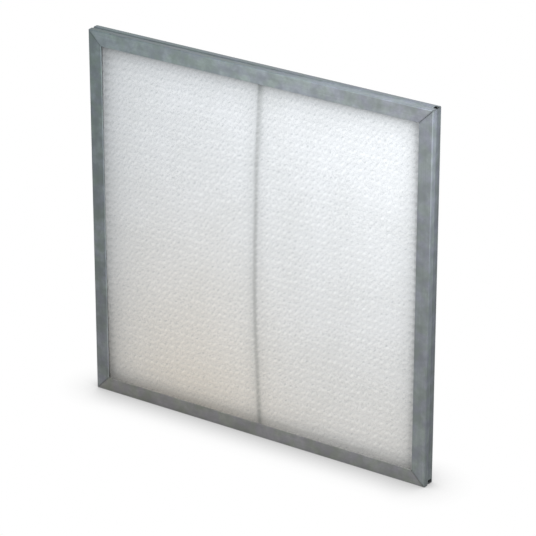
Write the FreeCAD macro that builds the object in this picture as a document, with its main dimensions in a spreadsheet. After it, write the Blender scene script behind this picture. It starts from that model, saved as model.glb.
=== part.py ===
import FreeCAD, Part
import math
import os
import Sketcher

# A flat panel air filter: a square frame of grooved sheet-metal channel, mitred at the corners,
# round a pack of woven and fibre layers with one thin support rod behind the front mesh.
# Millimetres. +Z up, the front faces -Y, and the origin is under the middle of the bottom edge.

# Driving dimensions: name, value, what it is
DRIVING = [
    ("frame_width", 495.3, "outside, left to right"),
    ("frame_height", 495.3, "outside, bottom to top"),
    ("frame_depth", 19.05, "outside, front to back"),
    ("flange_width", 19.0, "each flange, from the outer edge to the window"),
    ("sheet_thickness", 0.7, "the channel's metal"),
    ("bend_radius", 1.4, "outside of the two long bends"),
    ("hem_length", 6.0, "how far the flange's inner edge is folded back"),
    ("groove_width", 4.4, "rolled groove along the web, at its mouth"),
    ("groove_depth", 0.8, "rolled groove, at its middle"),
    ("mitre_gap", 0.4, "open joint between two members, square to the cut"),
    ("notch_length", 6.0, "opening in the web at a member's left end, along the member"),
    ("notch_width", 7.5, "the same opening, front to back"),
    ("notch_offset", 3.0, "the same opening, its middle behind the channel's middle"),
    ("key_arm", 44.0, "corner key, from the frame's outer edge to the arm's end"),
    ("key_thickness", 1.6, "corner key's strip"),
    ("key_bend", 8.0, "corner key, outside of its bend"),
    ("key_side_gap", 0.3, "corner key to each flange"),
    ("seat_gap", 0.1, "corner key to the groove's crest inside the channel"),
    ("edge_gap", 0.4, "corner key to the edge of the pack"),
    ("pack_gap", 0.3, "pack to the hems that hold it"),
    ("layer_gap", 0.2, "one layer of the pack to the next"),
    ("mesh_thickness", 0.6, "outer mesh between its rows"),
    ("row_height", 0.6, "a woven row above the mesh, outer face"),
    ("inner_row_height", 0.3, "a woven row above the mesh, inner face"),
    ("row_width", 9.0, "a woven row, across, in the middle of the mesh"),
    ("row_pitch", 10.6, "one woven row to the next"),
    ("screen_thickness", 0.5, "inner screen"),
    ("pad_thickness", 4.8, "fibre pad"),
    ("rod_diameter", 3.0, "support rod"),
    ("rod_end_gap", 0.3, "rod's end to the groove's crest inside the rail"),
    ("rod_offset", 1.3, "rod's ends, right of the frame's middle"),
    ("rod_lean", 2.6, "how far the rod's middle bows to the left of its ends"),
    ("valley_slope", 3.0, "run of the layers' slope on each side of the rod"),
]

# Derived dimensions: name, formula
DERIVED = [
    ("hem_thickness", "=2 * sheet_thickness"),
    ("hem_start", "=flange_width - hem_length"),
    ("nose_start", "=flange_width - sheet_thickness"),
    ("back_bend", "=frame_depth - bend_radius"),
    ("back_inner", "=frame_depth - sheet_thickness"),
    ("back_hem", "=frame_depth - hem_thickness"),
    ("mid_depth", "=frame_depth / 2"),
    ("groove_half", "=groove_width / 2"),
    ("groove_near", "=mid_depth - groove_half"),
    ("groove_far", "=mid_depth + groove_half"),
    ("groove_flank", "=sqrt(groove_half ^ 2 + groove_depth ^ 2)"),
    ("crest_half", "=groove_half + sheet_thickness * (groove_flank - groove_half) / groove_depth"),
    ("crest_near", "=mid_depth - crest_half"),
    ("crest_far", "=mid_depth + crest_half"),
    ("crest", "=groove_depth + sheet_thickness * groove_flank / groove_half"),
    ("mitre_inset", "=mitre_gap / 2 * sqrt(2)"),
    ("mitre_reach", "=flange_width + sheet_thickness"),
    ("mitre_run", "=mitre_inset + mitre_reach"),
    ("notch_near", "=mid_depth + notch_offset - notch_width / 2"),
    ("notch_far", "=mid_depth + notch_offset + notch_width / 2"),
    ("key_seat", "=crest + seat_gap"),
    ("key_inner", "=key_seat + key_thickness"),
    ("key_centre", "=key_seat + key_bend"),
    ("key_depth", "=frame_depth - 2 * sheet_thickness - 2 * key_side_gap"),
    ("pack_margin", "=key_inner + edge_gap"),
    ("pack_rounding", "=key_bend - key_thickness - edge_gap"),
    ("pack_width", "=frame_width - 2 * pack_margin"),
    ("pack_height", "=frame_height - 2 * pack_margin"),
    ("row_crest", "=hem_thickness + pack_gap"),
    ("mesh_front", "=row_crest + row_height"),
    ("mesh_middle", "=mesh_front + mesh_thickness / 2"),
    ("mesh_rear", "=mesh_front + mesh_thickness"),
    ("mesh_back", "=mesh_rear + inner_row_height"),
    ("screen_front", "=mesh_back + layer_gap"),
    ("screen_back", "=screen_front + screen_thickness"),
    ("pad_front", "=screen_back + layer_gap"),
    ("pad_back", "=pad_front + pad_thickness"),
    ("far_screen_front", "=pad_back + layer_gap"),
    ("far_screen_back", "=far_screen_front + screen_thickness"),
    ("far_mesh_front", "=far_screen_back + layer_gap + inner_row_height"),
    ("far_mesh_middle", "=far_mesh_front + mesh_thickness / 2"),
    ("far_mesh_back", "=far_mesh_front + mesh_thickness"),
    ("far_row_crest", "=far_mesh_back + row_height"),
    ("pack_bow", "=frame_depth - hem_thickness - pack_gap - far_row_crest"),
    ("bow_radius", "=((pack_height / 2) ^ 2 + pack_bow ^ 2) / (2 * pack_bow)"),
    ("bow_centre", "=row_crest + bow_radius"),
    ("bow_angle", "=2 * asin(pack_height / 2 / bow_radius)"),
    ("row_angle", "=2 * asin(row_pitch / 2 / bow_radius)"),
    ("rod_radius", "=rod_diameter / 2"),
    ("rod_depth", "=mesh_back + layer_gap + rod_radius"),
    ("rod_span", "=frame_height - 2 * (crest + rod_end_gap)"),
    ("rod_bow", "=pack_bow * (rod_span / pack_height) ^ 2"),
    ("rod_sag", "=sqrt(rod_bow ^ 2 + rod_lean ^ 2)"),
    ("rod_bow_radius", "=((rod_span / 2) ^ 2 + rod_sag ^ 2) / (2 * rod_sag)"),
    ("rod_bow_angle", "=2 * asin(rod_span / 2 / rod_bow_radius)"),
    ("rod_turn", "=atan(rod_lean / rod_bow)"),
    ("valley_drop", "=rod_diameter + layer_gap"),
    ("valley_half", "=rod_radius + rod_lean / 2 + pack_gap"),
    ("valley_middle", "=pack_width / 2 + rod_offset - rod_lean / 2"),
    ("valley_foot_left", "=valley_middle - valley_half"),
    ("valley_foot_right", "=valley_middle + valley_half"),
    ("valley_lip_left", "=valley_foot_left - valley_slope"),
    ("valley_lip_right", "=valley_foot_right + valley_slope"),
    ("screen_front_dip", "=screen_front + valley_drop"),
    ("screen_back_dip", "=screen_back + valley_drop"),
    ("pad_front_dip", "=pad_front + valley_drop"),
    ("row_half", "=row_width / 2"),
    ("row_rise", "=mesh_thickness / 2 + row_height"),
    ("row_radius", "=(row_half ^ 2 + row_rise ^ 2) / (2 * row_rise)"),
    ("inner_row_rise", "=mesh_thickness / 2 + inner_row_height"),
    ("inner_row_radius", "=(row_half ^ 2 + inner_row_rise ^ 2) / (2 * inner_row_rise)"),
    ("row_centre", "=mesh_middle - row_rise + row_radius"),
    ("inner_row_centre", "=mesh_middle + inner_row_rise - inner_row_radius"),
    ("far_row_centre", "=far_mesh_middle + row_rise - row_radius"),
    ("far_inner_row_centre", "=far_mesh_middle - inner_row_rise + inner_row_radius"),
    ("rows_each_way", "=floor((pack_height / 2 - pack_rounding - row_half) / row_pitch) + 1"),
]

ZERO = "zero"
CENTRE = 3
ANGLE_SLACK = 1e-6
LENGTH_SLACK = 1e-4

doc = FreeCAD.newDocument("air_filter")
sizes = doc.addObject("Spreadsheet::Sheet", "sizes")


def fill_sheet():
    row = 1
    for name, value, meaning in DRIVING:
        sizes.set("A%d" % row, name)
        sizes.set("B%d" % row, repr(value))
        sizes.set("C%d" % row, meaning)
        sizes.setAlias("B%d" % row, name)
        row += 1
    for name, formula in DERIVED:
        sizes.set("A%d" % row, name)
        sizes.set("B%d" % row, formula)
        sizes.setAlias("B%d" % row, name)
        row += 1
    doc.recompute()


def size(name):
    """The value of a named size, with a leading minus sign if the name has one."""
    if name == ZERO:
        return 0.0
    if name.startswith("-"):
        return -size(name[1:])
    value = sizes.get(name)
    return float(getattr(value, "Value", value))


def point(names):
    return FreeCAD.Vector(size(names[0]), size(names[1]), 0)


def bound(name):
    """The expression that binds a property to a named size."""
    return "-sizes." + name[1:] if name.startswith("-") else "sizes." + name


def new_body(name):
    body = doc.addObject("PartDesign::Body", name)
    body.Label = name
    return body


def origin_plane(body, role):
    return [feature for feature in body.Origin.OriginFeatures if feature.Role == role][0]


def new_sketch(body, name, role):
    sketch = body.newObject("Sketcher::SketchObject", name)
    sketch.AttachmentSupport = (origin_plane(body, role), [""])
    sketch.MapMode = "FlatFace"
    return sketch


def constrain(sketch, kind, *items, name=None):
    """Adds a constraint; a name binds its value to that size."""
    index = sketch.addConstraint(Sketcher.Constraint(kind, *items))
    if name:
        sketch.setExpression("Constraints[%d]" % index, bound(name))


def fix_point(sketch, edge, end, corner):
    """Holds one end of an edge at a corner given by two size names."""
    across, up = corner
    if across == ZERO:
        constrain(sketch, "PointOnObject", edge, end, -2)
    else:
        constrain(sketch, "DistanceX", -1, 1, edge, end, size(across), name=across)
    if up == ZERO:
        constrain(sketch, "PointOnObject", edge, end, -1)
    else:
        constrain(sketch, "DistanceY", -1, 1, edge, end, size(up), name=up)


def draw_outline(sketch, corners, arcs=None):
    """A closed outline through corners of two size names each, in order.

    arcs maps a corner's number to the centre of the arc from it to the next corner, and all other
    corners are joined by straight lines.
    """
    arcs = arcs or {}
    edges = []
    for number, corner in enumerate(corners):
        start = point(corner)
        end = point(corners[(number + 1) % len(corners)])
        if number in arcs:
            edges.append(draw_arc(sketch, start, end, arcs[number]))
        else:
            edges.append((sketch.addGeometry(Part.LineSegment(start, end), False), 1, 2))
    for number, corner in enumerate(corners):
        edge, first, _ = edges[number]
        before, _, last = edges[number - 1]
        constrain(sketch, "Coincident", before, last, edge, first)
        fix_point(sketch, edge, first, corner)


def draw_arc(sketch, start, end, centre_names):
    """An arc of less than half a turn, or half a turn to the left, with its centre held one way.

    Its ends hold the centre the other way. Returns the edge and which of its ends is first and last.
    """
    centre = point(centre_names)
    from_angle = math.atan2(start.y - centre.y, start.x - centre.x)
    to_angle = math.atan2(end.y - centre.y, end.x - centre.x)
    leftward = (to_angle - from_angle) % (2 * math.pi) < math.pi + ANGLE_SLACK
    circle = Part.Circle(centre, FreeCAD.Vector(0, 0, 1), start.distanceToPoint(centre))
    ends = (from_angle, to_angle) if leftward else (to_angle, from_angle)
    edge = sketch.addGeometry(Part.ArcOfCircle(circle, *ends), False)
    if abs(start.x - end.x) < abs(start.y - end.y):
        constrain(sketch, "DistanceX", -1, 1, edge, CENTRE, centre.x, name=centre_names[0])
    else:
        constrain(sketch, "DistanceY", -1, 1, edge, CENTRE, centre.y, name=centre_names[1])
    return (edge, 1, 2) if leftward else (edge, 2, 1)


def draw_axis(sketch, length, height):
    """A construction line along the sketch's first direction, at a named height."""
    start = FreeCAD.Vector(0, size(height), 0)
    end = FreeCAD.Vector(size(length), size(height), 0)
    edge = sketch.addGeometry(Part.LineSegment(start, end), True)
    fix_point(sketch, edge, 1, (ZERO, height))
    fix_point(sketch, edge, 2, (length, height))


def cut_through(body, name, sketch):
    """Cuts a sketch through the body both ways, and makes sure that it cut."""
    doc.recompute()
    before = body.Shape.Volume
    cut = body.newObject("PartDesign::Pocket", name)
    cut.Profile = sketch
    cut.Type = "ThroughAll"
    cut.SideType = "Symmetric"
    doc.recompute()
    if not body.Shape.Volume < before:
        raise ValueError(name + " removes nothing")
    return cut


def place(item, x="0", y="0", z="0", turn=0.0):
    """Binds an item's place to sizes and turns it about the front-to-back axis, in degrees."""
    rotation = FreeCAD.Rotation(FreeCAD.Vector(0, 1, 0), turn)
    item.Placement = FreeCAD.Placement(FreeCAD.Vector(), rotation)
    item.setExpression("Placement.Base.x", x)
    item.setExpression("Placement.Base.y", y)
    item.setExpression("Placement.Base.z", z)


def build_member(name, length):
    """One side of the frame: a hemmed channel along X, its web at Z = 0 and its mouth facing up.

    Both ends slope in at 45 degrees, and at the left end the web is open behind its middle.
    """
    body = new_body(name)
    section = new_sketch(body, name + "_section", "YZ_Plane")
    corners = [
        (ZERO, "nose_start"),
        (ZERO, "bend_radius"),
        ("bend_radius", ZERO),
        ("groove_near", ZERO),
        ("mid_depth", "groove_depth"),
        ("groove_far", ZERO),
        ("back_bend", ZERO),
        ("frame_depth", "bend_radius"),
        ("frame_depth", "nose_start"),
        ("back_hem", "nose_start"),
        ("back_hem", "hem_start"),
        ("back_inner", "hem_start"),
        ("back_inner", "bend_radius"),
        ("back_bend", "sheet_thickness"),
        ("crest_far", "sheet_thickness"),
        ("mid_depth", "crest"),
        ("crest_near", "sheet_thickness"),
        ("bend_radius", "sheet_thickness"),
        ("sheet_thickness", "bend_radius"),
        ("sheet_thickness", "hem_start"),
        ("hem_thickness", "hem_start"),
        ("hem_thickness", "nose_start"),
    ]
    bends = {
        (ZERO, "bend_radius"): ("bend_radius", "bend_radius"),
        ("back_bend", ZERO): ("back_bend", "bend_radius"),
        ("frame_depth", "nose_start"): ("back_inner", "nose_start"),
        ("back_inner", "bend_radius"): ("back_bend", "bend_radius"),
        ("bend_radius", "sheet_thickness"): ("bend_radius", "bend_radius"),
        ("hem_thickness", "nose_start"): ("sheet_thickness", "nose_start"),
    }
    draw_outline(section, corners, {corners.index(start): centre for start, centre in bends.items()})
    bar = body.newObject("PartDesign::Pad", name + "_bar")
    bar.Profile = section
    bar.SideType = "Symmetric"
    bar.setExpression("Length", bound(length))

    cut_end = "-sizes.%s / 2" % length
    mitre_line = new_sketch(body, name + "_mitre_line", "XZ_Plane")
    mitre_line.setExpression("AttachmentOffset.Base.x", cut_end)
    draw_outline(mitre_line, [
        (ZERO, ZERO), ("mitre_inset", ZERO), ("mitre_run", "mitre_reach"), (ZERO, "mitre_reach"),
    ])
    mitre = cut_through(body, name + "_mitre", mitre_line)

    other_end = body.newObject("PartDesign::Mirrored", name + "_other_end")
    other_end.Originals = [mitre]
    other_end.MirrorPlane = (origin_plane(body, "YZ_Plane"), [""])
    body.Tip = other_end

    notch_line = new_sketch(body, name + "_notch_line", "XY_Plane")
    notch_line.setExpression("AttachmentOffset.Base.x", cut_end)
    draw_outline(notch_line, [
        (ZERO, "notch_near"), ("notch_length", "notch_near"),
        ("notch_length", "notch_far"), (ZERO, "notch_far"),
    ])
    cut_through(body, name + "_notch", notch_line)
    return body


def build_corner_key(name):
    """A strip bent square with a round corner; its arms run along +X and +Z from the frame's corner."""
    body = new_body(name)
    side = new_sketch(body, name + "_side", "XZ_Plane")
    corners = [
        ("key_centre", "key_seat"),
        ("key_arm", "key_seat"),
        ("key_arm", "key_inner"),
        ("key_centre", "key_inner"),
        ("key_inner", "key_centre"),
        ("key_inner", "key_arm"),
        ("key_seat", "key_arm"),
        ("key_seat", "key_centre"),
    ]
    inner_arc = corners.index(("key_centre", "key_inner"))
    outer_arc = corners.index(("key_seat", "key_centre"))
    draw_outline(side, corners, {
        inner_arc: ("key_centre", "key_centre"),
        outer_arc: ("key_centre", "key_centre"),
    })
    strip = body.newObject("PartDesign::Pad", name + "_strip")
    strip.Profile = side
    strip.SideType = "Symmetric"
    strip.setExpression("Length", "sizes.key_depth")
    return body


def corner_edges(shape):
    """The names of a bowed sheet's four corner edges: short, at one side, and near one end."""
    names = []
    for number, edge in enumerate(shape.Edges, start=1):
        first, last = edge.Vertexes[0].Point, edge.Vertexes[-1].Point
        same_side = abs(first.x - last.x) < LENGTH_SLACK
        same_end = first.z * last.z > 0
        if same_side and same_end and edge.Length > LENGTH_SLACK:
            names.append("Edge%d" % number)
    return names


def bend_layer(body, corners):
    """A layer of the pack: its section at mid height, swung up and down about the far axis of the bow."""
    section = new_sketch(body, body.Label + "_section", "XY_Plane")
    draw_outline(section, corners)
    draw_axis(section, "pack_width", "bow_centre")
    sheet = body.newObject("PartDesign::Revolution", body.Label + "_sheet")
    sheet.Profile = section
    sheet.ReferenceAxis = (section, ["Axis0"])
    sheet.Midplane = True
    sheet.setExpression("Angle", "sizes.bow_angle")
    doc.recompute()
    rounding = body.newObject("PartDesign::Fillet", body.Label + "_rounding")
    rounding.Base = (sheet, corner_edges(sheet.Shape))
    rounding.setExpression("Radius", "sizes.pack_rounding")
    doc.recompute()
    return section


def flat_corners(front, back):
    return [(ZERO, front), ("pack_width", front), ("pack_width", back), (ZERO, back)]


def valley(depth, dip):
    """The line of a layer's face from left to right, dipping behind the rod."""
    return [
        (ZERO, depth), ("valley_lip_left", depth), ("valley_foot_left", dip),
        ("valley_foot_right", dip), ("valley_lip_right", depth), ("pack_width", depth),
    ]


def build_mesh(name, front, back, middle, front_centre, back_centre):
    """An outer mesh: a thin bowed sheet with a rounded rib on both faces along each woven row."""
    body = new_body(name)
    section = bend_layer(body, flat_corners(front, back))
    row_line = new_sketch(body, name + "_row_line", "YZ_Plane")
    draw_outline(
        row_line,
        [(middle, "-row_half"), (middle, "row_half")],
        {0: (front_centre, ZERO), 1: (back_centre, ZERO)},
    )
    row = body.newObject("PartDesign::Pad", name + "_row")
    row.Profile = row_line
    row.setExpression("Length", "sizes.pack_width")
    doc.recompute()
    for way in ("up", "down"):
        rows = body.newObject("PartDesign::PolarPattern", "%s_rows_%s" % (name, way))
        rows.Originals = [row]
        rows.Axis = (section, ["Axis0"])
        rows.Mode = "Spacing"
        rows.setExpression("Offset", "sizes.row_angle")
        rows.setExpression("Occurrences", "sizes.rows_each_way")
        rows.Reversed = way == "down"
        body.Tip = rows
        doc.recompute()
    return body


def build_screen(name, corners):
    body = new_body(name)
    bend_layer(body, corners)
    return body


def build_rod():
    """The support rod: a round wire bent to one long arc, its middle forward and to the left."""
    body = new_body("center_rod")
    section = new_sketch(body, "center_rod_section", "XY_Plane")
    circle = section.addGeometry(
        Part.Circle(FreeCAD.Vector(), FreeCAD.Vector(0, 0, 1), size("rod_radius")), False)
    constrain(section, "Coincident", circle, 3, -1, 1)
    constrain(section, "Radius", circle, size("rod_radius"), name="rod_radius")
    draw_axis(section, "rod_diameter", "rod_bow_radius")
    wire = body.newObject("PartDesign::Revolution", "center_rod_wire")
    wire.Profile = section
    wire.ReferenceAxis = (section, ["Axis0"])
    wire.Midplane = True
    wire.setExpression("Angle", "sizes.rod_bow_angle")
    return body


def check_model():
    """Stops if any object failed or any sub-part has no valid solid."""
    for item in doc.Objects:
        if "Invalid" in item.State or "Error" in item.State:
            raise ValueError("%s failed: %s" % (item.Label, item.State))
    for item in subparts:
        if item.Shape.isNull() or not item.Shape.isValid() or not item.Shape.Solids:
            raise ValueError(item.Label + " is not a valid solid")


fill_sheet()
subparts = []

# The frame's four sides: name, length, place of the outer edge's middle, turn about Y
MEMBERS = [
    ("bottom_rail", "frame_width", "0", "0", 0.0),
    ("right_stile", "frame_height", "sizes.frame_width / 2", "sizes.frame_height / 2", -90.0),
    ("top_rail", "frame_width", "0", "sizes.frame_height", 180.0),
    ("left_stile", "frame_height", "-sizes.frame_width / 2", "sizes.frame_height / 2", 90.0),
]
for label, length_name, across, up, turn in MEMBERS:
    member = build_member(label, length_name)
    place(member, across, "-sizes.mid_depth", up, turn)
    subparts.append(member)

# A key in each corner: name, place of the frame's corner, turn about Y
KEYS = [
    ("corner_key_bottom_left", "-sizes.frame_width / 2", "0", 0.0),
    ("corner_key_bottom_right", "sizes.frame_width / 2", "0", -90.0),
    ("corner_key_top_right", "sizes.frame_width / 2", "sizes.frame_height", 180.0),
    ("corner_key_top_left", "-sizes.frame_width / 2", "sizes.frame_height", 90.0),
]
for label, across, up, turn in KEYS:
    key = build_corner_key(label)
    place(key, across, "0", up, turn)
    subparts.append(key)

# The pack, front to back. It touches the front hems at mid height and the back hems at top and bottom.
screen_face = valley("screen_front", "screen_front_dip")
screen_rear = valley("screen_back", "screen_back_dip")
pad_face = valley("pad_front", "pad_front_dip")
pad_rear = [("pack_width", "pad_back"), (ZERO, "pad_back")]
pack = [
    build_mesh("front_mesh", "mesh_front", "mesh_rear", "mesh_middle", "row_centre", "inner_row_centre"),
    build_screen("front_screen", screen_face + screen_rear[::-1]),
    build_screen("loft_pad", pad_face + pad_rear),
    build_screen("back_screen", flat_corners("far_screen_front", "far_screen_back")),
    build_mesh("back_mesh", "far_mesh_front", "far_mesh_back", "far_mesh_middle",
               "far_inner_row_centre", "far_row_centre"),
]
for layer in pack:
    place(layer, "-sizes.pack_width / 2", "-sizes.mid_depth", "sizes.frame_height / 2")
    subparts.append(layer)

rod = build_rod()
place(rod, "sizes.rod_offset - sizes.rod_lean", "sizes.rod_depth - sizes.mid_depth",
      "sizes.frame_height / 2")
lean = FreeCAD.Rotation(FreeCAD.Vector(0, 0, -1), size("rod_turn"))
rod.Placement = FreeCAD.Placement(rod.Placement.Base, lean)
rod.setExpression("Placement.Rotation.Angle", "sizes.rod_turn")
subparts.append(rod)

doc.recompute()
check_model()

os.makedirs("parts", exist_ok=True)
for item in subparts:
    item.Shape.exportStep("parts/%s.step" % item.Label)
    print("%-24s %10.1f mm3" % (item.Label, item.Shape.Volume))
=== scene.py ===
import math

import bmesh
import bpy
import numpy as np
from mathutils import Matrix, Vector


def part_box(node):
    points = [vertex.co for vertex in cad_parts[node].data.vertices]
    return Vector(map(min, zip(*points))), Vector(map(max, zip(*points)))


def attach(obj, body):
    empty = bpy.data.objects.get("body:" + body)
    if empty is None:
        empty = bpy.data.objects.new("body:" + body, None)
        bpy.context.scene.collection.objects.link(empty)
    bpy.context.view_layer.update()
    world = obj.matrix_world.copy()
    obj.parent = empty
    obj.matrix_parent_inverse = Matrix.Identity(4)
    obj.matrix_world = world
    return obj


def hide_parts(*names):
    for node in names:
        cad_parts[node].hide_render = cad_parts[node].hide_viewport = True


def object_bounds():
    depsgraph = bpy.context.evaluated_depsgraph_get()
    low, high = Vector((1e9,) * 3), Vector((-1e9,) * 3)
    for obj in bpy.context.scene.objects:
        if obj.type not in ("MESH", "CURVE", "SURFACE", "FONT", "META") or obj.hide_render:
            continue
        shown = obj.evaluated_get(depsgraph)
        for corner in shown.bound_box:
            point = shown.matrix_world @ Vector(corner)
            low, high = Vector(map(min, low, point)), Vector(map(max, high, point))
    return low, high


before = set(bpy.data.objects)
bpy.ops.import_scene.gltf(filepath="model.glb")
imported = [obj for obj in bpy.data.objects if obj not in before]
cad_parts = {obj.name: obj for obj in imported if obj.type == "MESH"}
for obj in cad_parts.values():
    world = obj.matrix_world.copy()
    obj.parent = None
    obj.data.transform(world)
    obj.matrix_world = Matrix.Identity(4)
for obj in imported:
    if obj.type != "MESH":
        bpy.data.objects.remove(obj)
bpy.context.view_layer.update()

# A flat panel air filter: a square frame of grooved sheet-metal channel round a bowed pack of woven
# white mesh, fine screens and a fibre pad. Metres. +Z up, the front faces -Y.

MM = 0.001

# The frame's box, and the pack's sizes as the frame holds them
FRAME_LOW, FRAME_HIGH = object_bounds()
MIDDLE = (FRAME_LOW.z + FRAME_HIGH.z) / 2
HALF_WIDTH = (FRAME_HIGH.x - FRAME_LOW.x) / 2
FLANGE = 19.0 * MM
WINDOW_HALF = HALF_WIDTH - FLANGE
PACK_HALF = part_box("front_mesh")[1].x
PACK_ROUNDING = 6.0 * MM
PACK_THICKNESS = 9.6 * MM
PAD_THICKNESS = 4.8 * MM
SCREEN_THICKNESS = 0.5 * MM
MESH_THICKNESS = 0.6 * MM
ROW_HEIGHT = 0.6 * MM
INNER_STEP = 4 * MM

# The bow: every layer follows circles about one level axis far behind the panel
FRONT_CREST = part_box("front_mesh")[0].y
PAD_LOW, PAD_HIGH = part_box("loft_pad")
BOW = PAD_HIGH.y - PAD_LOW.y - PAD_THICKNESS
BOW_RADIUS = (PACK_HALF ** 2 + BOW ** 2) / (2 * BOW)
BOW_CENTRE = FRONT_CREST + BOW_RADIUS
BOW_ANGLE = math.asin(PACK_HALF / BOW_RADIUS)

# The support rod behind the front mesh, left to right, and the layers' valley over it
ROD_MIDDLE = -1.3 * MM
ROD_END = 1.3 * MM
VALLEY_DEPTH = 3.2 * MM
VALLEY_LIP = 6.1 * MM
VALLEY_SLOPE = 3.0 * MM

# The rod's line, a painted shadow on the mesh: half widths in millimetres, and how dark it and its halo are
LINE_LEFT = 3.3
LINE_RIGHT = 3.2
LINE_DARK = 0.295
HALO_WIDTH = 13 * MM
HALO_DARK = 0.13

# How the line strays from the rod, and where it changes, in millimetres above the middle
LINE_WANDER = 0.9
WANDER_LENGTH = 300
WANDER_REACH = 150
LINE_SHIFT = -0.9
LINE_BEND = 1.1
UPPER_START = 110
UPPER_RUN = 60
LOW_END = (190, 40, 0.12)
HIGH_END = (208, 20, 0.30)

# The weave: one slanted float in each cell of an upright lattice
CELL_WIDTH = 8.2 * MM
CELL_HEIGHT = 10.6 * MM
FLOAT_SLANT = math.radians(37)
FLOAT_LENGTH = 3.3 * MM
FLOAT_BREADTH = 1.15 * MM
FLOAT_RISE = 0.34 * MM
DIMPLE_RADIUS = 1.5 * MM
DIMPLE_DEPTH = 0.30 * MM
ROW_RISE = 0.02 * MM
DIMPLE_PLACE = (0.10, 0.32)
STEPS_ACROSS = 6
STEPS_UP = 6
FINE_MARGIN = 2 * MM
EDGE_FADE = 6 * MM

# How the threads wander: the size and length of each wave, sideways and upwards
SIDEWAYS_WAVES = ((0.6 * MM, 0.071), (0.5 * MM, 0.047))
UPWARD_WAVES = ((0.7 * MM, 0.062), (0.4 * MM, 0.053))
ROW_DIP = 3.0 * MM
DIP_START = 0.150
DIP_RUN = 0.08

# The painted marks of a float and of the pit above it, highlight and shade: middle, reach and breadth in
# millimetres
FLOAT_MARK = ((0.3, -0.8), 2.9, 1.2)
PIT_MARK = ((-0.6, 2.4), 2.6, 1.0)
SLANT_PLAY = 0.25
THREAD_PITCH = 1.3 * MM

# How much painted highlight each float and painted shade each pit give the plastic, from its least to its
# most
FLOAT_LIGHT = (0.20, 0.85)
UNDER_LIGHT = (0.0, 0.45)
PIT_DARK = (0.65, 0.25)
UNDER_DARK = (0.0, 0.30)
STROKE_SHARE = 0.30
GRAIN_SHARE = 1.3
TONE_RANGE = (-0.2, 1.22)

# The strokes' two grains: how fine each is, and how it is drawn out
STROKE_GRAINS = ((560, (0.6, 1, 1)), (1000, (1, 1, 1)))

# How the painted shade darkens the mesh beside each side of the window: the most, its run and its start in
# millimetres, and the rows' part in it
LEFT_SHADE = (0.47, 17.0, 1.5, 0.18)
RIGHT_SHADE = (0.53, 11.0, 0.0, 0.25)
TOP_SHADE = (0.62, 13.0, 3.0, 0.0)
BOTTOM_SHADE = (0.31, 12.0, 5.0, 0.0)
BACK_SHADE = 0.4

# The beige cast: the height above the middle where it begins, its fall, and its strongest place
CAST_TOP = 0.2025
CAST_FALL = 0.4
CAST_PLACE = -0.10
CAST_REACH = 0.13

# The zinc's mottling: how fine the clouds, tints, patches and rolled lines are
CLOUD_SCALE = 48
TINT_SCALE = 65
PATCH_SCALE = 170
LINE_SCALE = 900
PATCH_SHARE = 0.6
LINE_SHARE = 0.45

# Where a member's painted light, shade and side cast change, inwards from the frame's outer face or in from
# its front
SIDE_EDGE = (0.7 * MM, 1.0 * MM)
OUTER_THIRD = (3.0 * MM, 9.0 * MM)
BEND_INWARD = (0.3 * MM, 1.6 * MM)
BEND_BACK = (FRAME_LOW.y + 0.2 * MM, FRAME_LOW.y + 1.8 * MM)
HEM_EDGE = (FLANGE - 1.5 * MM, FLANGE - 0.4 * MM)

# A faint darker band along each flange: how far in from the outer edge, its reach and depth
FLANGE_BAND = 9.0 * MM
FLANGE_BAND_REACH = 2.2 * MM
FLANGE_BAND_DEPTH = 0.05

# How far the darkening beside a mitre reaches, and the part of the member, about its middle, where it
# changes
MITRE_REACH = 1.4 * MM
MITRE_TURN = 0.1

# The floor, and the painted shadow of what stands on it
FLOOR_REACH = 12.0
FLOOR_DROP = 0.05 * MM
FLOOR_GREY = 0.55
SHADOW_REACH = 0.058
SHADOW_RANGE = (0.5, 0.97)
SHADOW_DARKEST = 0.545
SKY_LIGHT = 0.38

# The camera: where it stands from the object's origin along its own axes, its angles and its lens
SIDE = 495.3 * MM
CAMERA_AZIMUTH = math.radians(33.441)
CAMERA_ELEVATION = math.radians(24.606)
CAMERA_OFFSET = (0.0209 * SIDE, 0.4214 * SIDE, 7.9280 * SIDE)
CAMERA_LENS = 208.58


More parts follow.
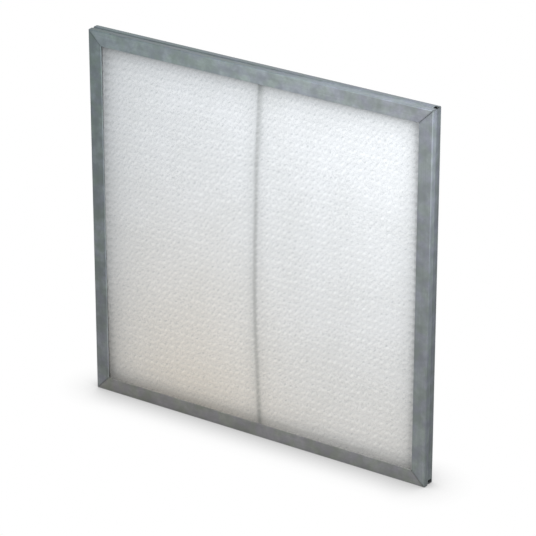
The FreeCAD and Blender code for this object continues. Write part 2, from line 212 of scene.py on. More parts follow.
class Shader:
    """Adds nodes to a material. A number, a colour, a vector or another node's socket feeds an input."""

    def __init__(self, name):
        self.material = bpy.data.materials.new(name)
        self.material.use_nodes = True
        self.tree = self.material.node_tree
        self.tree.nodes.clear()

    def add(self, kind, inputs=None, **settings):
        made = self.tree.nodes.new(kind)
        for name, value in settings.items():
            setattr(made, name, value)
        for name, value in (inputs or {}).items():
            self.feed(made.inputs[name], value)
        return made

    def feed(self, socket, value):
        if isinstance(value, bpy.types.NodeSocket):
            self.tree.links.new(value, socket)
        else:
            socket.default_value = value

    def value(self, operation, *terms, clamp=False):
        """A sum, product or other figure of numbers and sockets."""
        inputs = dict(enumerate(terms))
        return self.add("ShaderNodeMath", inputs, operation=operation, use_clamp=clamp).outputs[0]

    def blend(self, factor, first, second, kind="MIX"):
        """A colour between two others, or a product of them where kind is MULTIPLY."""
        mixed = self.add("ShaderNodeMix", data_type="RGBA", blend_type=kind)
        for name, value in (("Factor_Float", factor), ("A_Color", first), ("B_Color", second)):
            socket = [entry for entry in mixed.inputs if entry.identifier == name][0]
            self.feed(socket, value)
        return [entry for entry in mixed.outputs if entry.identifier == "Result_Color"][0]

    def place(self, scale=(1, 1, 1)):
        """The point on the object in metres, stretched by scale."""
        position = self.add("ShaderNodeNewGeometry").outputs["Position"]
        return self.add("ShaderNodeMapping", {"Vector": position, "Scale": scale}).outputs[0]

    def noise(self, scale, detail=2.0, roughness=0.5, stretch=(1, 1, 1)):
        inputs = {"Vector": self.place(stretch), "Scale": scale, "Detail": detail, "Roughness": roughness}
        return self.add("ShaderNodeTexNoise", inputs).outputs["Fac"]

    def spread(self, value, low, high, out_low=0.0, out_high=1.0):
        """The value carried from one range to another and held inside it."""
        inputs = {
            "Value": value, "From Min": low, "From Max": high, "To Min": out_low, "To Max": out_high,
        }
        return self.add("ShaderNodeMapRange", inputs).outputs["Result"]

    def measure(self, name):
        """A number that the mesh holds at each point."""
        return self.add("ShaderNodeAttribute", attribute_name=name).outputs["Fac"]

    def groove(self, away, reach, depth):
        """One, less depth where away is zero, with a soft dip of the given reach between."""
        near = self.value("POWER", self.value("MULTIPLY", self.value("ABSOLUTE", away), 1 / reach), 2)
        dip = self.value("EXPONENT", self.value("MULTIPLY", near, -1))
        return self.value("SUBTRACT", 1, self.value("MULTIPLY", dip, depth))

    def bump(self, height, strength, distance):
        inputs = {"Height": height, "Strength": strength, "Distance": distance}
        return self.add("ShaderNodeBump", inputs).outputs["Normal"]

    def finish(self, shader):
        output = self.add("ShaderNodeOutputMaterial")
        self.tree.links.new(shader, output.inputs["Surface"])
        return self.material


def colour(red, green, blue):
    """A colour for a shader from its 0 to 255 screen values."""
    def light(value):
        share = value / 255
        return share / 12.92 if share <= 0.04045 else ((share + 0.055) / 1.055) ** 2.4
    return (light(red), light(green), light(blue), 1.0)


def run_through(shader, share, stops):
    """A value that runs through evenly spaced stops from a member's start, share -1, to its end.

    A ramp's colours go up to one and the stops to two, so it holds their halves.
    """
    if min(stops) == max(stops):
        return stops[0]
    line = shader.add("ShaderNodeValToRGB", {"Fac": shader.spread(share, -1, 1)})
    line.color_ramp.interpolation = "CARDINAL"
    elements = line.color_ramp.elements
    for index, stop in enumerate(stops[1:-1], 1):
        elements.new(index / (len(stops) - 1)).color = (stop / 2, stop / 2, stop / 2, 1)
    for element, stop in ((elements[0], stops[0]), (elements[-1], stops[-1])):
        element.color = (stop / 2, stop / 2, stop / 2, 1)
    return shader.value("MULTIPLY", line.outputs["Color"], 2.0)


def mottled_zinc(shader, tone, warm, along, mottle):
    """Dull zinc's colour, roughness and grain: cool and greenish clouds, flecks, lines along the member."""
    fine_lines = (1, 1, 0.02) if along == "Z" else (0.02, 1, 1)
    clouds = shader.spread(shader.noise(CLOUD_SCALE, 3.0, 0.6), 0.40, 0.60)
    tint = shader.spread(shader.noise(TINT_SCALE, 2.0, 0.5, (1, 2, 1)), 0.38, 0.62)
    patches = shader.spread(shader.noise(PATCH_SCALE, 4.0, 0.65), 0.3, 0.7)
    lines = shader.spread(shader.noise(LINE_SCALE, 3.0, 0.6, fine_lines), 0.3, 0.7)
    blue = colour(tone - 4 + warm, tone, tone + 6 - warm)
    green = colour(tone - 6 + warm, tone + 2, tone - 1 - warm)
    hue = shader.blend(tint, green, blue)
    dull = shader.blend(1.0, hue, (mottle, mottle, mottle, 1), "MULTIPLY")
    clouded = shader.blend(clouds, dull, hue)
    flecked = shader.blend(shader.value("MULTIPLY", patches, PATCH_SHARE), clouded, dull)
    lined = shader.blend(shader.value("MULTIPLY", lines, LINE_SHARE), flecked, dull)
    roughness = shader.spread(shader.value("ADD", clouds, lines), 0.0, 2.0, 0.56, 0.70)
    grain = shader.value("ADD", shader.value("MULTIPLY", lines, 0.6), patches)
    return lined, roughness, grain


def zinc(
        name, tone, warm, along, mottle, casts, flange, outer, bend, front, rear, turn, side_cast,
        nose, mitres):
    """Dull zinc-coated sheet for one member of the frame; its tone and much of its light and shade are
    painted.

    mottle is how dark its darkest clouds are, and casts are its colour casts at the start and at the
    end. flange, bend, front and rear are painted light and shade: how light the flange, the outer
    front bend (a painted highlight) and the outer side's two halves are, each at even steps from the
    member's start to its end. turn is where the side's front half ends, in millimetres behind its
    middle, and side_cast its colour cast. outer is the painted shade of the flange's outer third and
    nose the painted highlight at the window's edge. mitres says how dark the joint is at the start
    and at the end.
    """
    shader = Shader(name)
    lined, roughness, grain = mottled_zinc(shader, tone, warm, along, mottle)
    point = shader.add("ShaderNodeSeparateXYZ", {"Vector": shader.place()}).outputs
    height = shader.value("SUBTRACT", point["Z"], MIDDLE)
    across, upward = shader.value("ABSOLUTE", point["X"]), shader.value("ABSOLUTE", height)
    inward = shader.value("SUBTRACT", HALF_WIDTH, shader.value("MAXIMUM", across, upward))
    share = shader.value("MULTIPLY", height if along == "Z" else point["X"], 1 / HALF_WIDTH)

    def lit(value, place, low, high):
        """The value, times a light that runs from low to high between two places inwards."""
        return shader.value("MULTIPLY", value, shader.spread(inward, *place, low, high))

    # Painted light and shade: side halves, flange steps, outer third, bend and nose highlights
    behind = shader.spread(point["Y"], (turn - 1) * MM, (turn + 1) * MM)
    front_light, rear_light = run_through(shader, share, front), run_through(shader, share, rear)
    side = shader.spread(behind, 0, 1, front_light, rear_light)
    on_side = shader.spread(inward, *SIDE_EDGE, 1, 0)
    face = lit(run_through(shader, share, flange), OUTER_THIRD, outer, 1)
    light = shader.spread(on_side, 0, 1, face, side)
    on_bend = lit(shader.spread(point["Y"], *BEND_BACK, 1, 0), BEND_INWARD, 1, 0)
    light = shader.spread(on_bend, 0, 1, light, run_through(shader, share, bend))
    light = lit(light, HEM_EDGE, 1, nose)
    off_band = shader.value("SUBTRACT", inward, FLANGE_BAND)
    light = shader.value("MULTIPLY", light, shader.groove(off_band, FLANGE_BAND_REACH, FLANGE_BAND_DEPTH))
    off_mitre = shader.value("MULTIPLY", shader.value("SUBTRACT", across, upward), math.sqrt(0.5))
    depth = shader.spread(share, -MITRE_TURN, MITRE_TURN, *mitres)
    light = shader.value("MULTIPLY", light, shader.groove(off_mitre, MITRE_REACH, depth))

    start, end = [(*cast, 1) for cast in casts]
    cast = shader.blend(shader.spread(share, -1, 1), start, end)
    cast = shader.blend(on_side, cast, (*side_cast, 1), "MULTIPLY")
    tinted = shader.blend(1.0, lined, cast, "MULTIPLY")
    surface = shader.add("ShaderNodeBsdfPrincipled", {
        "Base Color": shader.blend(1.0, tinted, light, "MULTIPLY"), "Metallic": 0.10,
        "Roughness": roughness, "Specular IOR Level": 0.12, "Normal": shader.bump(grain, 0.12, 0.0002),
    })
    return shader.finish(surface.outputs[0])


def steel(name, tone):
    """Plain drawn or rolled steel for the pieces inside the frame."""
    shader = Shader(name)
    streaks = shader.spread(shader.noise(400, 3.0, 0.6, (1, 1, 0.1)), 0.3, 0.7)
    shade = shader.blend(streaks, colour(*tone), colour(*[part * 0.82 for part in tone]))
    surface = shader.add("ShaderNodeBsdfPrincipled", {
        "Base Color": shade, "Metallic": 0.8,
        "Roughness": shader.spread(streaks, 0, 1, 0.35, 0.5),
        "Normal": shader.bump(streaks, 0.1, 0.0001),
    })
    return shader.finish(surface.outputs[0])


def fine_weave(shader, pitch):
    """The height of a plain weave of round threads at the given pitch."""
    position = shader.add("ShaderNodeSeparateXYZ", {"Vector": shader.place()}).outputs
    turns = 2 * math.pi / pitch
    across = shader.value("SINE", shader.value("MULTIPLY", position["X"], turns))
    upward = shader.value("SINE", shader.value("MULTIPLY", position["Z"], turns))
    return shader.value("MULTIPLY", across, upward)


def ellipse(shader, x, z, slant, centre, reach, breadth):
    """One in the middle of a slanted oval, falling to zero past its edge. All in millimetres."""
    x = shader.value("SUBTRACT", x, centre[0])
    z = shader.value("SUBTRACT", z, centre[1])
    cos, sin = shader.value("COSINE", slant), shader.value("SINE", slant)
    lengthwise = shader.value("ADD", shader.value("MULTIPLY", x, cos), shader.value("MULTIPLY", z, sin))
    crosswise = shader.value("SUBTRACT", shader.value("MULTIPLY", z, cos), shader.value("MULTIPLY", x, sin))
    long_part = shader.value("POWER", shader.value("MULTIPLY", lengthwise, 1 / reach), 2)
    cross_part = shader.value("POWER", shader.value("MULTIPLY", crosswise, 1 / breadth), 2)
    away = shader.value("POWER", shader.value("ADD", long_part, cross_part), 1.5)
    return shader.value("EXPONENT", shader.value("MULTIPLY", away, -1))


def floats(shader, start, wander):
    """How much a point lies on a float, in the pit above it, and its cell's own chance.

    start moves the lattice by a share of a cell each way, and wander is how far a float strays.
    """
    cell = shader.add("ShaderNodeAttribute", attribute_name="cell").outputs["Vector"]
    parts = shader.add("ShaderNodeSeparateXYZ", {"Vector": cell}).outputs
    across = shader.value("ADD", parts["X"], start[0])
    upward = shader.value("ADD", parts["Y"], start[1])
    column, row = shader.value("ROUND", across), shader.value("ROUND", upward)
    index = shader.add("ShaderNodeCombineXYZ", {"X": column, "Y": row}).outputs[0]
    chance = shader.add("ShaderNodeTexWhiteNoise", {"Vector": index, "W": start[0]}, noise_dimensions="4D")
    spread = shader.add("ShaderNodeSeparateColor", {"Color": chance.outputs["Color"]}).outputs
    shift_x = shader.spread(spread["Red"], 0, 1, -wander, wander)
    shift_z = shader.spread(spread["Green"], 0, 1, -wander, wander)
    x = shader.value("ADD", shader.value("SUBTRACT", across, column), shift_x)
    z = shader.value("ADD", shader.value("SUBTRACT", upward, row), shift_z)
    x = shader.value("MULTIPLY", x, CELL_WIDTH / MM)
    z = shader.value("MULTIPLY", z, CELL_HEIGHT / MM)
    least, most = FLOAT_SLANT - SLANT_PLAY, FLOAT_SLANT + SLANT_PLAY
    slant = shader.spread(chance.outputs["Value"], 0, 1, least, most)
    over = ellipse(shader, x, z, slant, *FLOAT_MARK)
    pit = ellipse(shader, x, z, slant, *PIT_MARK)
    return over, pit, spread["Blue"]


def strokes(shader):
    """Fine random strokes along the floats' slant, and a finer even grain."""
    position = shader.add("ShaderNodeNewGeometry").outputs["Position"]
    turn = {"Vector": position, "Rotation": (0, FLOAT_SLANT, 0)}
    turned = shader.add("ShaderNodeMapping", turn).outputs[0]
    streaks = []
    for scale, stretch in STROKE_GRAINS:
        stretched = shader.add("ShaderNodeMapping", {"Vector": turned, "Scale": stretch}).outputs[0]
        inputs = {"Vector": stretched, "Scale": scale, "Detail": 2.0, "Roughness": 0.6}
        noise = shader.add("ShaderNodeTexNoise", inputs).outputs["Fac"]
        streaks.append(shader.spread(noise, 0.3, 0.7))
    return streaks


def woven_white(name):
    """White woven plastic: painted highlights on slanted floats and painted shade in the pits,
    fine strokes, soiled parts, painted shade near the frame and the rod's painted shadow.
    """
    shader = Shader(name)
    over, pit, chance = floats(shader, (0.0, 0.0), 0.12)
    under, hole, luck = floats(shader, (0.5, 0.3), 0.30)
    slanted, grain = strokes(shader)
    threads = fine_weave(shader, THREAD_PITCH)
    cloudy = shader.spread(shader.noise(14, 2.0), 0.35, 0.65)
    clean = shader.blend(cloudy, colour(238, 242, 245), colour(243, 247, 251))
    tinted = shader.blend(shader.measure("warmth"), clean, colour(251, 244, 233))
    raised = shader.value("MULTIPLY", over, shader.spread(chance, 0, 1, *FLOAT_LIGHT))
    between = shader.value("MULTIPLY", under, shader.spread(luck, 0.5, 1, *UNDER_LIGHT))
    sunk = shader.value("MULTIPLY", pit, shader.spread(chance, 0, 1, *PIT_DARK))
    lower = shader.value("MULTIPLY", hole, shader.spread(luck, 0.5, 1, *UNDER_DARK))
    tone = shader.value("SUBTRACT", shader.value("ADD", raised, between), shader.value("ADD", sunk, lower))
    tone = shader.value("MULTIPLY_ADD", slanted, STROKE_SHARE, tone)
    tone = shader.value("MULTIPLY_ADD", grain, GRAIN_SHARE, tone)
    lightness = shader.spread(tone, *TONE_RANGE)
    # Painted shade in the pits and painted highlight on the floats, with the strokes' and grain's tone, run
    # from this grey to white
    hollow = shader.blend(lightness, colour(209, 211, 213), colour(255, 255, 255))
    woven = shader.blend(1.0, tinted, hollow, "MULTIPLY")
    # Painted shade beside the frame
    shaded = shader.blend(shader.measure("shade"), woven, colour(118, 122, 124))
    # The rod's painted shadow line
    lined = shader.blend(shader.measure("line"), shaded, colour(96, 102, 100))
    height = shader.value("MULTIPLY_ADD", threads, 0.2, tone)
    surface = shader.add("ShaderNodeBsdfPrincipled", {
        "Base Color": lined, "Roughness": 0.62, "Specular IOR Level": 0.25,
        "Normal": shader.bump(height, 0.3, 0.0004),
    })
    return shader.finish(surface.outputs[0])


def fibre_white(name, pitch, tone):
    """White fibre or fine screen for the layers between the outer meshes."""
    shader = Shader(name)
    fluff = shader.noise(700, 6.0, 0.7)
    soft = shader.blend(shader.spread(fluff, 0.3, 0.7), colour(*tone), colour(244, 244, 243))
    height = shader.value("ADD", shader.value("MULTIPLY", fine_weave(shader, pitch), 0.5), fluff)
    surface = shader.add("ShaderNodeBsdfPrincipled", {
        "Base Color": soft, "Roughness": 0.8, "Specular IOR Level": 0.15,
        "Normal": shader.bump(height, 0.4, 0.0004),
    })
    return shader.finish(surface.outputs[0])


def smooth(value):
    """Zero below 0, one above 1, and an even S between them."""
    share = np.clip(value, 0, 1)
    return share * share * (3 - 2 * share)


def rod_line(height):
    """Where the rod runs, left to right, at a height above the frame's middle."""
    share = np.clip(height / PACK_HALF, -1, 1)
    return ROD_END + (ROD_MIDDLE - ROD_END) * (1 - share ** 2)


def side_edge(height):
    """Half the pack's width at a height above its middle, less at its rounded corners."""
    into = np.clip(PACK_ROUNDING - (PACK_HALF - np.abs(height)), 0, PACK_ROUNDING)
    return PACK_HALF - PACK_ROUNDING + np.sqrt(PACK_ROUNDING ** 2 - into ** 2)


def bent_points(columns, rows, depth):
    """A grid of points on a layer's face: depth is its place front to back before the pack is bowed."""
    across, along = np.meshgrid(columns, rows)
    inner = PACK_HALF - 2 * PACK_ROUNDING
    share = np.clip((np.abs(across) - inner) / (PACK_HALF - inner), 0, 1)
    reach = side_edge(along)
    beyond = np.sign(across) * share * (reach - PACK_HALF)
    turn = along / BOW_RADIUS
    radius = BOW_CENTRE - depth(across, along)
    points = np.stack([
        across + beyond,
        BOW_CENTRE - radius * np.cos(turn),
        MIDDLE + radius * np.sin(turn),
    ], axis=-1)
    return points.reshape(-1, 3)


def grid_lines(step, reach, margin_lines=4):
    """Line places from edge to edge of the pack: even inside reach, and a few beyond it each way."""
    inner = np.linspace(-reach, reach, 2 * round(reach / step) + 1)
    outer = np.linspace(reach, PACK_HALF, margin_lines + 1)[1:]
    return np.concatenate([-outer[::-1], inner, outer])


def arc_lines(step, reach, margin_lines=4):
    """The same up the bow, measured along it."""
    lines = grid_lines(step, reach, margin_lines)
    return lines * (BOW_ANGLE * BOW_RADIUS / PACK_HALF)


def thinned(count, every):
    """Every so many of a row of numbers, with the first and the last."""
    kept = list(range(0, count - 1, every))
    return kept + [count - 1]


def grid_faces(across, up, first=0):
    corner = np.arange(across - 1)[None, :] + across * np.arange(up - 1)[:, None] + first
    corner = corner.reshape(-1)
    return np.stack([corner, corner + 1, corner + across + 1, corner + across], axis=-1).tolist()


def build_layer(name, columns, rows, face, rear, every=1):
    """A closed sheet from a face grid and a rear grid that takes every so many of its lines."""
    kept_columns = thinned(len(columns), every)
    kept_rows = thinned(len(rows), every)
    face_points = bent_points(columns, rows, face)
    rear_points = bent_points(columns[kept_columns], rows[kept_rows], rear)
    first = len(face_points)
    faces = grid_faces(len(columns), len(rows))
    faces += grid_faces(len(kept_columns), len(kept_rows), first)

    def face_at(row, column):
        return row * len(columns) + column

    def rear_at(row, column):
        return first + row * len(kept_columns) + column

    last_column, last_row = len(columns) - 1, len(rows) - 1
    for end, rear_end in ((0, 0), (last_row, len(kept_rows) - 1)):
        for number, (start, stop) in enumerate(zip(kept_columns, kept_columns[1:])):
            edge = [face_at(end, column) for column in range(start, stop + 1)]
            faces.append(edge + [rear_at(rear_end, number + 1), rear_at(rear_end, number)])
    for end, rear_end in ((0, 0), (last_column, len(kept_columns) - 1)):
        for number, (start, stop) in enumerate(zip(kept_rows, kept_rows[1:])):
            edge = [face_at(row, end) for row in range(start, stop + 1)]
            faces.append(edge + [rear_at(number + 1, rear_end), rear_at(number, rear_end)])

    mesh = bpy.data.meshes.new(name)
    mesh.from_pydata(np.concatenate([face_points, rear_points]).tolist(), [], faces)
    work = bmesh.new()
    work.from_mesh(mesh)
    bmesh.ops.recalc_face_normals(work, faces=work.faces)
    work.to_mesh(mesh)
    work.free()
    mesh.shade_smooth()
    piece = bpy.data.objects.new(name, mesh)
    bpy.context.scene.collection.objects.link(piece)
    return piece


class Weave:
    """The woven face of an outer mesh: its relief, and what it darkens or tints."""

    def __init__(self, seed):
        draw = np.random.default_rng(seed)
        count = 2 * math.ceil(PACK_HALF / CELL_WIDTH) + 8
        self.middle = count // 2
        self.strength = draw.uniform(0.55, 1.25, (count, count))
        self.slant = FLOAT_SLANT + draw.normal(0, math.radians(7), (count, count))
        self.shift_x = draw.normal(0, 0.06, (count, count))
        self.shift_z = draw.normal(0, 0.05, (count, count))
        self.waves = draw.uniform(0, 2 * math.pi, 6)

    def lattice(self, across, along):
        """Cell coordinates of a point: the threads wander a little, and the rows dip at the right."""
        def wave(measures, place, phase):
            size, length = measures
            return size * np.sin(place / length + self.waves[phase])

        x_way = wave(SIDEWAYS_WAVES[0], along, 0) + wave(SIDEWAYS_WAVES[1], across, 1)
        z_way = wave(UPWARD_WAVES[0], across, 2) + wave(UPWARD_WAVES[1], along, 3)
        dip = ROW_DIP * smooth((across - DIP_START) / DIP_RUN)
        return (across + x_way) / CELL_WIDTH, (along + z_way + dip) / CELL_HEIGHT

    def relief(self, across, along):
        """Height of the face above the mesh, in metres."""
        column, row = self.lattice(across, along)
        near_column, near_row = np.rint(column).astype(int), np.rint(row).astype(int)
        height = ROW_RISE * np.cos(2 * math.pi * row)
        for step_x in (-1, 0, 1):
            for step_z in (-1, 0, 1):
                cell_x, cell_z = near_column + step_x, near_row + step_z
                at = (cell_z + self.middle, cell_x + self.middle)
                x = (column - cell_x - self.shift_x[at]) * CELL_WIDTH
                z = (row - cell_z - self.shift_z[at]) * CELL_HEIGHT
                slant = self.slant[at]
                lengthwise = x * np.cos(slant) + z * np.sin(slant)
                crosswise = z * np.cos(slant) - x * np.sin(slant)
                shape = (lengthwise / FLOAT_LENGTH) ** 2 + (crosswise / FLOAT_BREADTH) ** 2
                height += FLOAT_RISE * self.strength[at] * np.exp(-shape)
                left, above = x + DIMPLE_PLACE[0] * CELL_WIDTH, z - DIMPLE_PLACE[1] * CELL_HEIGHT
                hollow = np.exp(-(left ** 2 + above ** 2) / DIMPLE_RADIUS ** 2)
                height -= DIMPLE_DEPTH * self.strength[at] * hollow
        side_fade = smooth((PACK_HALF - np.abs(across)) / EDGE_FADE)
        end_fade = smooth((PACK_HALF - np.abs(along)) / EDGE_FADE)
        return height * (side_fade * end_fade)


def mark(piece, name, *values):
    """Gives each point of a piece's face a number or a vector, and its other points zero."""
    kind, field = ("FLOAT", "value") if len(values) == 1 else ("FLOAT_VECTOR", "vector")
    attribute = piece.data.attributes.new(name, kind, "POINT")
    whole = np.zeros((len(piece.data.vertices), len(values)), np.float32)
    whole[:values[0].size] = np.stack(values, axis=-1).reshape(-1, len(values))
    attribute.data.foreach_set(field, whole.reshape(-1))


def edge_shade(across, along, row, front):
    """Where less light comes through the mesh: near each side of the window, in steps with the rows."""
    sides = [
        (WINDOW_HALF + across, *LEFT_SHADE),
        (WINDOW_HALF - across, *RIGHT_SHADE),
        (WINDOW_HALF - along, *TOP_SHADE),
        (WINDOW_HALF + along, *BOTTOM_SHADE),
    ]
    clear = 1.0
    for inside, most, run, start, stepped in sides:
        inside = inside / MM
        near = np.exp(-np.clip(inside - start, 0, None) / run)
        eased = 0.5 + 0.5 * smooth((inside + 3) / (start + 3))
        steps = 1 + stepped * np.cos(2 * math.pi * row)
        clear = clear * (1 - (most if front else BACK_SHADE) * near * eased * steps)
    return 1 - clear


def rod_shadow_paint(across, along, strand):
    """The rod's soft grey line: a painted shadow on the front mesh where the rod would show through,
    broken up a little by its floats.

    It wanders, widens to the right towards its top and darkens towards its ends.
    """
    height = along / MM
    wander = LINE_WANDER * np.sin(2 * math.pi * height / WANDER_LENGTH) * (np.abs(height) < WANDER_REACH)
    offset = (LINE_SHIFT + LINE_BEND * (along / PACK_HALF) ** 2 + wander) * MM
    off = across - rod_line(along) - offset
    upper = smooth((height - UPPER_START) / UPPER_RUN)
    width = np.where(off < 0, LINE_LEFT - 1.5 * upper, LINE_RIGHT + 2.8 * upper) * MM
    core = np.exp(-(off / width) ** 2)
    near_ends = 0
    for away, (start, run, darker) in ((-height, LOW_END), (height, HIGH_END)):
        near_ends = near_ends + darker * smooth((away - start) / run)
    broken = 1.08 - 0.25 * strand
    halo = HALO_DARK * np.exp(-(off / HALO_WIDTH) ** 2)
    return np.clip((LINE_DARK - 0.02 * upper + near_ends) * core * broken + halo, 0, 1)


def warm_patch(across, along):
    """A beige cast that grows towards the bottom, strongest left of the middle."""
    low = np.clip((CAST_TOP - along) / CAST_FALL, 0, 1) ** 1.8
    left = np.exp(-((across - CAST_PLACE) / CAST_REACH) ** 2)
    return 0.04 + low * (0.45 + 0.5 * left)


def woven_mesh(name, seed, front):
    """An outer mesh with its woven face outwards and a plain face towards the inner layers."""
    weave = Weave(seed)
    fine = WINDOW_HALF + FINE_MARGIN
    columns = grid_lines(CELL_WIDTH / STEPS_ACROSS, fine)
    rows = arc_lines(CELL_HEIGHT / STEPS_UP, fine)
    crest = FRONT_CREST if front else FRONT_CREST + PACK_THICKNESS
    way = 1 if front else -1
    sheet_face = crest + way * ROW_HEIGHT

    def face(across, along):
        return sheet_face - way * np.clip(weave.relief(across, along), -MESH_THICKNESS / 2, ROW_HEIGHT)

    def rear(across, along):
        return sheet_face + way * MESH_THICKNESS + 0 * across

    piece = build_layer(name, columns, rows, face, rear, STEPS_ACROSS)
    across, along = np.meshgrid(columns, rows)
    relief = weave.relief(across, along)
    column, row = weave.lattice(across, along)
    mark(piece, "cell", column, row, 0 * row)
    mark(piece, "shade", edge_shade(across, along, row, front))
    strand = np.clip(relief / FLOAT_RISE, 0, 1)
    mark(piece, "line", rod_shadow_paint(across, along, strand) if front else 0 * across)
    mark(piece, "warmth", warm_patch(across, along) * (1.0 if front else 0.4))
    piece.data.materials.append(woven_white(name + "_plastic"))
    return piece


def over_rod(across):
    """How far the inner layers dip to leave room for the rod."""
    return VALLEY_DEPTH * smooth((VALLEY_LIP + VALLEY_SLOPE - np.abs(across)) / VALLEY_SLOPE)


def ripple(across, along, size):
    """A soft unevenness of a fibre face."""
    sideways = np.sin(across / 0.011 + 2 * np.sin(along / 0.023))
    upwards = np.sin(along / 0.009 + np.sin(across / 0.017))
    return size * (sideways * upwards)


def inner_layer(name, low, thickness, dips, uneven, material):
    """A screen or the pad, between the outer meshes. low is its front, and dips is for the rod's valley."""
    columns = grid_lines(INNER_STEP, WINDOW_HALF)
    rows = arc_lines(INNER_STEP, WINDOW_HALF)

    def face(across, along):
        dip = over_rod(across) if dips else 0 * across
        return low + dip + ripple(across, along, uneven)

    def rear(across, along):
        dip = over_rod(across) if dips and thickness < PAD_THICKNESS else 0 * across
        return low + dip + thickness - ripple(along, across, uneven)

    piece = build_layer(name, columns, rows, face, rear)
    piece.data.materials.append(material)
    return piece


def replace_soft(piece, node):
    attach(piece, "root")
    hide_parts(node)


def paint_node(node, material):
    """Gives a carried-over piece of the frame its finish."""
    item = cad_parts[node]
    item.data.materials.clear()
    item.data.materials.append(material)


def add_floor():
    floor = bpy.data.meshes.new("floor")
    level = FRAME_LOW.z - FLOOR_DROP
    turns = ((-1, -1), (1, -1), (1, 1), (-1, 1))
    corners = [(x * FLOOR_REACH, y * FLOOR_REACH, level) for x, y in turns]
    floor.from_pydata(corners, [], [(0, 1, 2, 3)])
    item = bpy.data.objects.new("floor", floor)
    bpy.context.scene.collection.objects.link(item)
    shader = Shader("pale_floor")
    seen = shader.add("ShaderNodeLightPath").outputs
    shown = shader.value("ADD", seen["Is Camera Ray"], seen["Is Glossy Ray"], clamp=True)
    shown = shader.value("ADD", shown, seen["Is Transmission Ray"], clamp=True)
    # The shadow is painted: the floor's white glow is darkened by ambient occlusion near what stands on it
    near = shader.add("ShaderNodeAmbientOcclusion", {"Distance": SHADOW_REACH}, samples=12).outputs["AO"]
    shadow = shader.spread(near, *SHADOW_RANGE, SHADOW_DARKEST, 1.0)
    white = shader.add("ShaderNodeEmission", {"Color": (1, 1, 1, 1), "Strength": shadow})
    grey = (FLOOR_GREY, FLOOR_GREY, FLOOR_GREY, 1)
    plain = shader.add("ShaderNodeBsdfDiffuse", {"Color": grey})
    both = shader.add("ShaderNodeMixShader", {0: shown, 1: plain.outputs[0], 2: white.outputs[0]})
    floor.materials.append(shader.finish(both.outputs[0]))


def add_world():
    world = bpy.data.worlds.new("studio")
    bpy.context.scene.world = world
    world.use_nodes = True
    tree = world.node_tree
    tree.nodes.clear()
    seen = tree.nodes.new("ShaderNodeLightPath").outputs
    shown = tree.nodes.new("ShaderNodeMath")
    shown.operation = "ADD"
    shown.use_clamp = True
    tree.links.new(seen["Is Camera Ray"], shown.inputs[0])
    tree.links.new(seen["Is Glossy Ray"], shown.inputs[1])
    bright = tree.nodes.new("ShaderNodeMath")
    bright.operation = "ADD"
    bright.use_clamp = True
    tree.links.new(shown.outputs[0], bright.inputs[0])
    tree.links.new(seen["Is Transmission Ray"], bright.inputs[1])
    strength = tree.nodes.new("ShaderNodeMapRange")
    strength.inputs["To Min"].default_value = SKY_LIGHT
    strength.inputs["To Max"].default_value = 1.0
    tree.links.new(bright.outputs[0], strength.inputs["Value"])
    sky = tree.nodes.new("ShaderNodeBackground")
    sky.inputs["Color"].default_value = (1, 1, 1, 1)
    tree.links.new(strength.outputs[0], sky.inputs["Strength"])
    output = tree.nodes.new("ShaderNodeOutputWorld")
    tree.links.new(sky.outputs[0], output.inputs["Surface"])


def add_lamp(name, place, target, size, power):
    lamp = bpy.data.lights.new(name, "AREA")
    lamp.shape = "DISK"
    lamp.size = size
    lamp.energy = power
    item = bpy.data.objects.new(name, lamp)
    bpy.context.scene.collection.objects.link(item)
    item.location = place
    item.rotation_mode = "QUATERNION"
    item.rotation_quaternion = (Vector(target) - Vector(place)).to_track_quat("-Z", "Y")
    item.visible_camera = False


def add_camera():
    right = Vector((math.cos(CAMERA_AZIMUTH), math.sin(CAMERA_AZIMUTH), 0))
    back = Vector((
        math.sin(CAMERA_AZIMUTH) * math.cos(CAMERA_ELEVATION),
        -math.cos(CAMERA_AZIMUTH) * math.cos(CAMERA_ELEVATION),
        math.sin(CAMERA_ELEVATION),
    ))
    up = back.cross(right)
    data = bpy.data.cameras.new("camera")
    data.lens = CAMERA_LENS
    item = bpy.data.objects.new("camera", data)
    bpy.context.scene.collection.objects.link(item)
    axes = Matrix((right, up, back)).transposed()
    place = axes @ Vector(CAMERA_OFFSET)
    item.matrix_world = Matrix.Translation(place) @ axes.to_4x4()
    bpy.context.scene.camera = item


add_camera()
add_world()
add_floor()
add_lamp("key", place=(0.12, -0.75, 0.74), target=(0, 0, 0.36), size=0.35, power=4.15)
add_lamp("side", place=(0.62, -0.22, 0.66), target=(0.22, 0, 0.38), size=0.25, power=2.1)
add_lamp("rear", place=(-0.9, 1.4, 1.1), target=(0, 0, 0.25), size=0.8, power=12)
bpy.context.scene.view_settings.view_transform = "Standard"
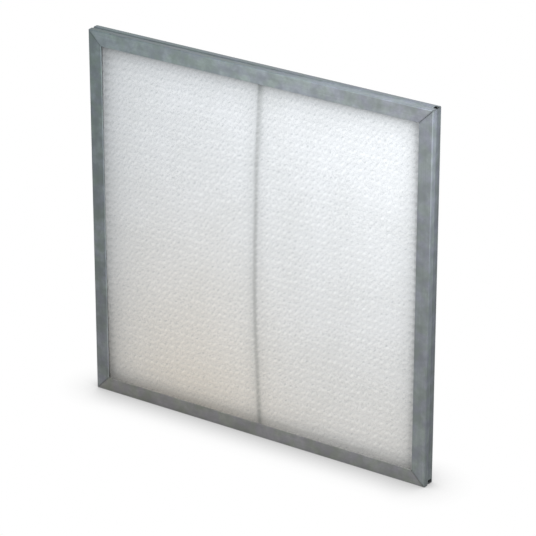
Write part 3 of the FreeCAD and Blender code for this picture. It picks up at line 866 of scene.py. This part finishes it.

# Each member's tone is painted to stand for the light and reflection that fall on it, and its
# flange, bend, nose, outer third and side halves carry painted light and shade
MEMBERS = {
    "top_rail": {
        "tone": 167, "warm": 0, "along": "X", "mottle": 0.66, "nose": 1.07, "mitres": (0.08, 0.28),
        "casts": ((0.925, 1.042, 1.034), (0.990, 0.984, 1.033)), "outer": 1.0,
        "flange": (0.85, 1.02, 0.85), "bend": (0.77, 1.13, 1.14),
        "front": (0.54, 0.58, 0.71, 1.07, 1.13), "rear": (0.66, 0.67, 0.88), "turn": 1.6,
        "side_cast": (0.955, 1.0, 1.045),
    },
    "right_stile": {
        "tone": 152, "warm": 0, "along": "Z", "mottle": 0.70, "nose": 1.0, "mitres": (0.18, 0.28),
        "casts": ((1.0, 1.0, 1.0), (0.977, 0.985, 1.038)), "outer": 1.0,
        "flange": (1.04, 0.90, 0.96), "bend": (0.95, 0.92, 1.44),
        "front": (0.86, 1.07, 1.36), "rear": (0.80, 0.84, 0.85), "turn": 0.0,
        "side_cast": (0.978, 1.0, 1.02),
    },
    "bottom_rail": {
        "tone": 147, "warm": 4, "along": "X", "mottle": 0.72, "nose": 1.05, "mitres": (0.10, 0.22),
        "casts": ((1.02, 0.995, 0.985), (0.988, 0.988, 1.022)), "outer": 0.86,
        "flange": (1.02, 1.06, 1.07), "bend": (0.85, 0.90, 0.95),
        "front": (1.0, 1.0, 1.0), "rear": (0.80, 0.80, 0.80), "turn": 0.0,
        "side_cast": (0.978, 1.0, 1.02),
    },
    "left_stile": {
        "tone": 148, "warm": 0, "along": "Z", "mottle": 0.64, "nose": 1.5, "mitres": (0.12, 0.12),
        "casts": ((1.014, 0.988, 0.997), (0.925, 1.037, 1.037)), "outer": 1.0,
        "flange": (1.0, 0.96, 0.96), "bend": (1.0, 1.0, 1.0),
        "front": (1.0, 1.0, 1.0), "rear": (0.80, 0.80, 0.80), "turn": 0.0,
        "side_cast": (0.978, 1.0, 1.02),
    },
}
# Each member's zinc, with its painted light and shade
for node, finish in MEMBERS.items():
    paint_node(node, zinc(node + "_zinc", **finish))

# The corner keys show only in the corner holes, so their steel is painted dark for the shade in there
key_shade_steel = steel("key_steel", (96, 99, 101))
for corner in ("bottom_left", "bottom_right", "top_right", "top_left"):
    paint_node("corner_key_" + corner, key_shade_steel)
paint_node("center_rod", steel("rod_steel", (128, 130, 132)))

front = woven_mesh("woven_front", seed=11, front=True)
replace_soft(front, "front_mesh")

rear = woven_mesh("woven_back", seed=23, front=False)
replace_soft(rear, "back_mesh")

screen_white = fibre_white("screen_plastic", 1.0 * MM, (228, 229, 230))
pad_white = fibre_white("pad_fibre", 2.3 * MM, (232, 231, 228))
front_screen = inner_layer(
    "screen_front", low=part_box("front_screen")[0].y, thickness=SCREEN_THICKNESS, dips=True, uneven=0.0,
    material=screen_white)
replace_soft(front_screen, "front_screen")

back_screen = inner_layer(
    "screen_back", low=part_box("back_screen")[0].y, thickness=SCREEN_THICKNESS, dips=False, uneven=0.0,
    material=screen_white)
replace_soft(back_screen, "back_screen")

pad = inner_layer(
    "fibre_pad", low=PAD_LOW.y, thickness=PAD_THICKNESS, dips=True, uneven=0.06 * MM, material=pad_white)
replace_soft(pad, "loft_pad")
